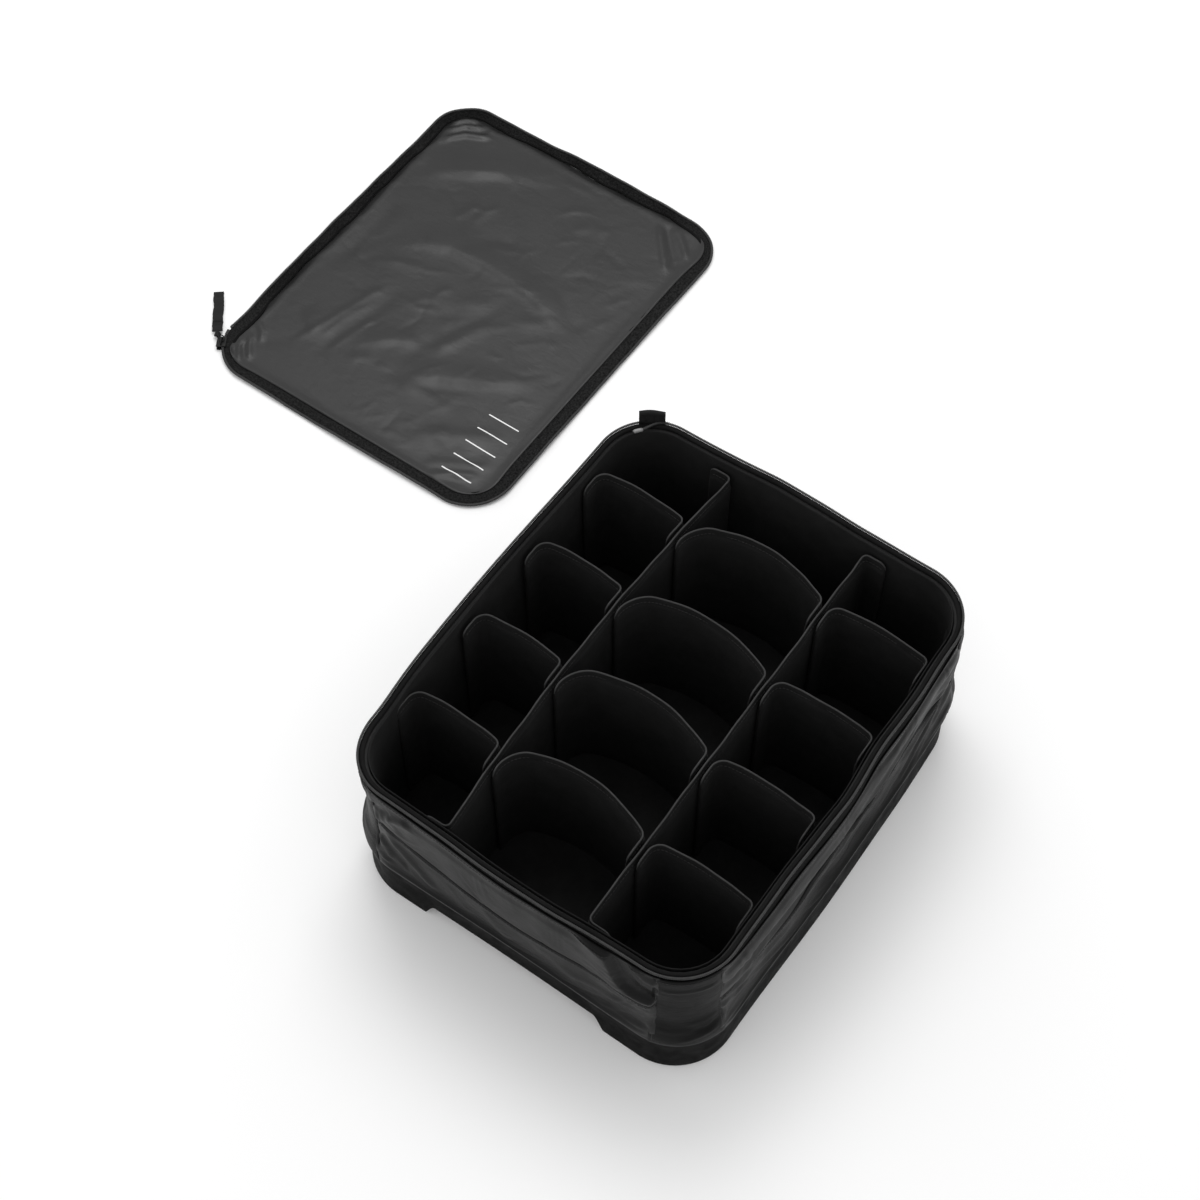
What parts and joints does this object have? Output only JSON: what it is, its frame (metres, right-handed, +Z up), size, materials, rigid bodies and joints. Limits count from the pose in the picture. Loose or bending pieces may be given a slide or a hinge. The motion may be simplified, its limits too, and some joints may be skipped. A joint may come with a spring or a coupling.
{
  "type": "camera bag insert",
  "caption": "Padded fabric camera box on a moulded base with lift-out hook-and-loop dividers, and its zip-off lid lying beside it, inside up.",
  "frame": {"origin": "on the floor, under the middle of the bounding box of the whole set: box, lid and pull", "axes": "+Z up; +X from the lid towards the box, across the box's short side; +Y along the box's long side, towards the corner that carries the webbing tab"},
  "size_m": [0.8836, 0.7922, 0.208],
  "materials": {
    "moulded_base": "fine matt moulding grain",
    "stiffener_board": "plain sheet",
    "closed_cell_foam": "closed-cell foam",
    "loop_velour": "brushed loop velour",
    "coated_nylon": "semi-gloss coated plain weave",
    "webbing": "ribbed grosgrain",
    "zip_tape": "herringbone tape",
    "zip_coil": "nylon coil, satin",
    "slider_metal": "black lacquered zinc"
  },
  "bodies": {
    "box": {"base_shell": "moulded_base", "floor_board": "stiffener_board", "floor_pad": "closed_cell_foam", "wall_pad_back": "closed_cell_foam", "wall_pad_left": "closed_cell_foam", "wall_pad_front": "closed_cell_foam", "wall_pad_right": "closed_cell_foam", "corner_pad_back_right": "closed_cell_foam", "corner_pad_back_left": "closed_cell_foam", "corner_pad_front_left": "closed_cell_foam", "corner_pad_front_right": "closed_cell_foam", "lining": "loop_velour", "lower_panel": "coated_nylon", "upper_panel": "coated_nylon", "corner_band_back_right": "coated_nylon", "corner_band_back_left": "coated_nylon", "corner_band_front_left": "coated_nylon", "corner_band_front_right": "coated_nylon", "rim_binding": "loop_velour", "box_zip_tape": "zip_tape", "box_zip_coil": "zip_coil", "box_zip_pin": "zip_coil", "pull_tab": "webbing"},
    "long_divider_left": {"long_divider_left": "loop_velour"},
    "long_divider_right": {"long_divider_right": "loop_velour"},
    "divider_left_1": {"divider_left_1": "loop_velour"},
    "divider_left_2": {"divider_left_2": "loop_velour"},
    "divider_left_3": {"divider_left_3": "loop_velour"},
    "divider_left_4": {"divider_left_4": "loop_velour"},
    "divider_middle_1": {"divider_middle_1": "loop_velour"},
    "divider_middle_2": {"divider_middle_2": "loop_velour"},
    "divider_middle_3": {"divider_middle_3": "loop_velour"},
    "divider_middle_4": {"divider_middle_4": "loop_velour"},
    "divider_right_1": {"divider_right_1": "loop_velour"},
    "divider_right_2": {"divider_right_2": "loop_velour"},
    "divider_right_3": {"divider_right_3": "loop_velour"},
    "divider_right_4": {"divider_right_4": "loop_velour"},
    "lid": {"lid_panel": "coated_nylon", "lid_binding": "webbing", "lid_zip_tape": "zip_tape", "lid_zip_coil": "zip_coil", "lid_zip_retainer": "zip_coil", "lid_zip_stop": "zip_coil"},
    "slider": {"zip_slider": "slider_metal"},
    "pull": {"pull_cord_loop": "zip_coil", "pull_knot": "zip_coil", "pull_ribbon": "webbing"}
  },
  "joints": [
    {"name": "long_divider_left_lift", "type": "slide", "parent": "box", "child": "long_divider_left", "axis": [0, 0, 1], "range_m": [0, 0.17]},
    {"name": "long_divider_right_lift", "type": "slide", "parent": "box", "child": "long_divider_right", "axis": [0, 0, 1], "range_m": [0, 0.17]},
    {"name": "divider_left_1_lift", "type": "slide", "parent": "box", "child": "divider_left_1", "axis": [0, 0, 1], "range_m": [0, 0.17]},
    {"name": "divider_left_2_lift", "type": "slide", "parent": "box", "child": "divider_left_2", "axis": [0, 0, 1], "range_m": [0, 0.17]},
    {"name": "divider_left_3_lift", "type": "slide", "parent": "box", "child": "divider_left_3", "axis": [0, 0, 1], "range_m": [0, 0.17]},
    {"name": "divider_left_4_lift", "type": "slide", "parent": "box", "child": "divider_left_4", "axis": [0, 0, 1], "range_m": [0, 0.17]},
    {"name": "divider_middle_1_lift", "type": "slide", "parent": "box", "child": "divider_middle_1", "axis": [0, 0, 1], "range_m": [0, 0.17]},
    {"name": "divider_middle_2_lift", "type": "slide", "parent": "box", "child": "divider_middle_2", "axis": [0, 0, 1], "range_m": [0, 0.17]},
    {"name": "divider_middle_3_lift", "type": "slide", "parent": "box", "child": "divider_middle_3", "axis": [0, 0, 1], "range_m": [0, 0.17]},
    {"name": "divider_middle_4_lift", "type": "slide", "parent": "box", "child": "divider_middle_4", "axis": [0, 0, 1], "range_m": [0, 0.17]},
    {"name": "divider_right_1_lift", "type": "slide", "parent": "box", "child": "divider_right_1", "axis": [0, 0, 1], "range_m": [0, 0.17]},
    {"name": "divider_right_2_lift", "type": "slide", "parent": "box", "child": "divider_right_2", "axis": [0, 0, 1], "range_m": [0, 0.17]},
    {"name": "divider_right_3_lift", "type": "slide", "parent": "box", "child": "divider_right_3", "axis": [0, 0, 1], "range_m": [0, 0.17]},
    {"name": "divider_right_4_lift", "type": "slide", "parent": "box", "child": "divider_right_4", "axis": [0, 0, 1], "range_m": [0, 0.17]},
    {"name": "lid_lift", "type": "slide", "parent": "box", "child": "lid", "axis": [0, 0, 1], "range_m": [0, 0.3]},
    {"name": "slider_travel", "type": "hinge", "parent": "lid", "child": "slider", "pos_m": [-0.34754, 0.00715, 0.0037], "axis": [0, 0, 1], "range_deg": [-4, 58]},
    {"name": "pull_swing", "type": "hinge", "parent": "slider", "child": "pull", "pos_m": [-0.38962, -0.01814, 0.0083], "axis": [0.8572, 0.515, 0], "range_deg": [0, 150]}
  ]
}
